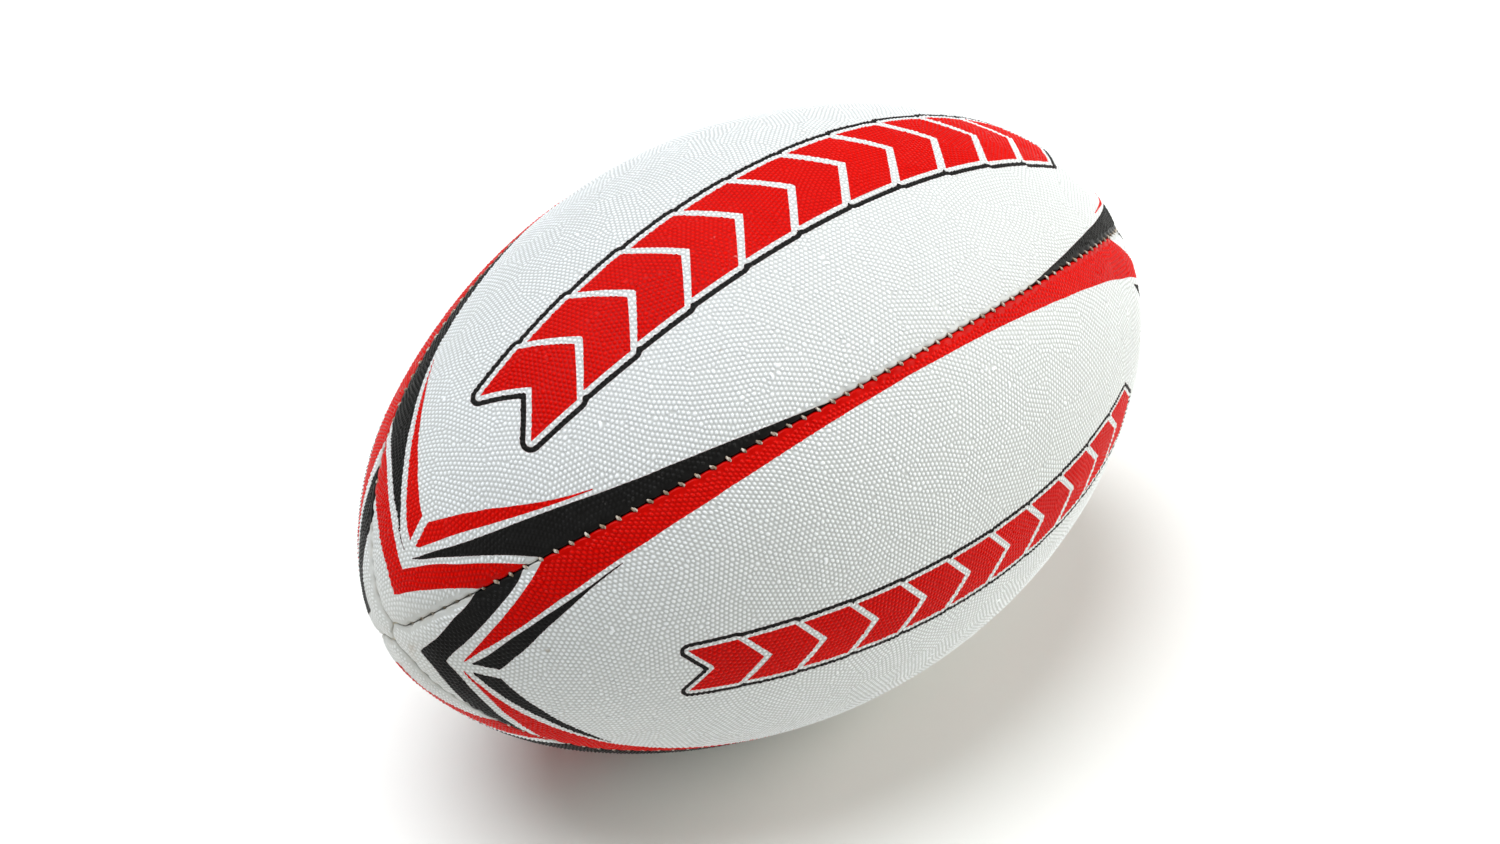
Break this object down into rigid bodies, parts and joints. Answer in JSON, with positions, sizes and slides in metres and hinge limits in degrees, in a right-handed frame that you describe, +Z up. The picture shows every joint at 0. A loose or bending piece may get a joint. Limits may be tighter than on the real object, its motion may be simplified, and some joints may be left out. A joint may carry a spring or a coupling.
{
  "type": "rugby ball",
  "caption": "Oval four-panel ball with a grained rubber skin, hand-stitched seams, cloth lining, inner bladder and a needle valve.",
  "frame": {"origin": "centre of the ball, midway between its tips", "axes": "+X along the long axis, +Z up with the ball lying on its side, +Y towards the back panel that holds the valve"},
  "size_m": [0.2988, 0.1899, 0.19],
  "materials": {
    "pimpled_rubber": "satin, fine raised grain, printed red and black",
    "ply_canvas": "woven, latex coated",
    "waxed_thread": "waxed twisted thread",
    "bladder_rubber": "smooth matt",
    "patch_canvas": "woven, rubberised",
    "valve_rubber": "moulded satin",
    "valve_core_rubber": "moulded satin"
  },
  "bodies": {
    "ball": {"top_rubber_skin": "pimpled_rubber", "top_outer_ply": "ply_canvas", "top_middle_ply": "ply_canvas", "top_inner_ply": "ply_canvas", "front_rubber_skin": "pimpled_rubber", "front_outer_ply": "ply_canvas", "front_middle_ply": "ply_canvas", "front_inner_ply": "ply_canvas", "bottom_rubber_skin": "pimpled_rubber", "bottom_outer_ply": "ply_canvas", "bottom_middle_ply": "ply_canvas", "bottom_inner_ply": "ply_canvas", "back_rubber_skin": "pimpled_rubber", "back_outer_ply": "ply_canvas", "back_middle_ply": "ply_canvas", "back_inner_ply": "ply_canvas", "top_back_seam_thread": "waxed_thread", "top_front_seam_thread": "waxed_thread", "bottom_front_seam_thread": "waxed_thread", "bottom_back_seam_thread": "waxed_thread", "bladder": "bladder_rubber", "cover_valve_patch": "patch_canvas", "bladder_valve_patch": "bladder_rubber", "valve_housing": "valve_rubber"},
    "valve_core": {"valve_core": "valve_core_rubber"}
  },
  "joints": [
    {"name": "valve_core_pull", "type": "slide", "parent": "ball", "child": "valve_core", "axis": [0, 1, 0], "range_m": [0, 0.022]}
  ]
}
